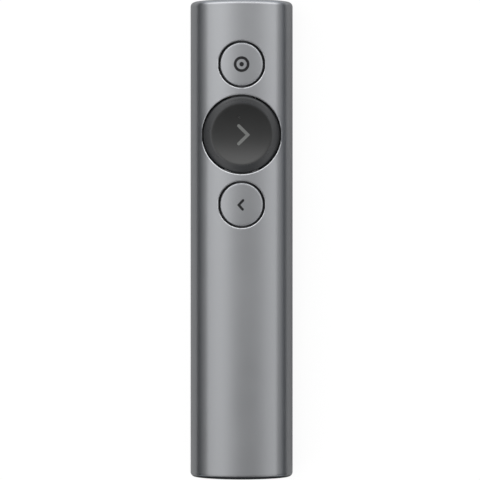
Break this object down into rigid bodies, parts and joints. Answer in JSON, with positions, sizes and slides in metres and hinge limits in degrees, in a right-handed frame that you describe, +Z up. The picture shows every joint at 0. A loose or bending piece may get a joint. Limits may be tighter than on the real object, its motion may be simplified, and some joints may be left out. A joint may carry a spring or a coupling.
{
  "type": "wireless presentation clicker",
  "caption": "Slim hand-held presentation clicker: arched aluminium tube, small round buttons above and below a large dished one, plug-in receiver stowed in the tail.",
  "frame": {"origin": "centre of the flat back, midway along the tube", "axes": "+Y along the tube towards the nose, where the pointer button is; +Z up out of the button face; +X across, to the right when the buttons face the viewer and the nose points up"},
  "size_m": [0.0282, 0.1312, 0.0124],
  "materials": {
    "anodised_aluminium": "fine bead-blasted grey anodised aluminium",
    "anodised_cap": "grey anodised aluminium, a little smoother than the tube",
    "soft_touch": "black soft-touch coated plastic",
    "end_plastic": "dark grey fine-grained plastic",
    "inner_plastic": "black glass-filled nylon",
    "circuit_board": "solder-masked glass-epoxy board",
    "steel": "plain steel",
    "tinned_steel": "satin tinned steel",
    "switch_case": "black switch case",
    "stem_plastic": "white acetal",
    "chip_package": "moulded epoxy",
    "brass": "plated brass strip",
    "led_lens": "clear diffusing plastic",
    "connector_plastic": "black liquid-crystal polymer",
    "battery_pouch": "laminated foil pouch",
    "foam": "black foam tape",
    "lead_sleeve": "wire insulation",
    "plug_plastic": "ivory nylon plug",
    "rubber": "black silicone rubber",
    "tongue_plastic": "black connector plastic",
    "gold_contacts": "gold-plated contacts",
    "weight_metal": "sintered heavy metal"
  },
  "bodies": {
    "housing": {"body_tube": "anodised_aluminium", "nose_cap": "end_plastic", "tail_bezel": "end_plastic", "chassis": "inner_plastic", "button_guide": "inner_plastic", "main_board": "circuit_board", "board_screws": "steel", "pointer_switch": "switch_case", "next_switch": "switch_case", "back_switch": "switch_case", "shield_can": "tinned_steel", "radio_chip": "chip_package", "motion_sensor": "chip_package", "antenna": "brass", "status_led": "led_lens", "usb_c_shell": "tinned_steel", "usb_c_tongue": "connector_plastic", "battery_cell": "battery_pouch", "battery_board": "circuit_board", "battery_pad": "foam", "battery_leads": "lead_sleeve", "battery_plug": "plug_plastic", "motor_can": "steel", "motor_boot": "rubber", "motor_leads": "lead_sleeve", "receiver_clip": "steel"},
    "pointer_button": {"pointer_cap": "anodised_cap", "pointer_stem": "stem_plastic"},
    "next_button": {"next_cap": "soft_touch", "next_stem": "stem_plastic", "led_light_pipe": "led_lens"},
    "back_button": {"back_cap": "anodised_cap", "back_stem": "stem_plastic"},
    "receiver": {"receiver_cap": "end_plastic", "receiver_shell": "tinned_steel", "receiver_tongue": "tongue_plastic", "receiver_contacts": "gold_contacts", "receiver_board": "circuit_board"},
    "motor_weight_body": {"motor_shaft": "steel", "motor_weight": "weight_metal"}
  },
  "joints": [
    {"name": "pointer_press", "type": "slide", "parent": "housing", "child": "pointer_button", "axis": [0, 0, -1], "range_m": [0, 0.0003], "stiffness_N_per_m": 300, "springref_m": -0.001},
    {"name": "next_press", "type": "slide", "parent": "housing", "child": "next_button", "axis": [0, 0, -1], "range_m": [0, 0.0003], "stiffness_N_per_m": 300, "springref_m": -0.001},
    {"name": "back_press", "type": "slide", "parent": "housing", "child": "back_button", "axis": [0, 0, -1], "range_m": [0, 0.0003], "stiffness_N_per_m": 300, "springref_m": -0.001},
    {"name": "receiver_slide", "type": "slide", "parent": "housing", "child": "receiver", "axis": [0, -1, 0], "range_m": [0, 0.022]},
    {"name": "motor_spin", "type": "hinge", "parent": "housing", "child": "motor_weight_body", "pos_m": [0.00655, -0.032, 0.0073], "axis": [0, 1, 0], "continuous": true}
  ]
}
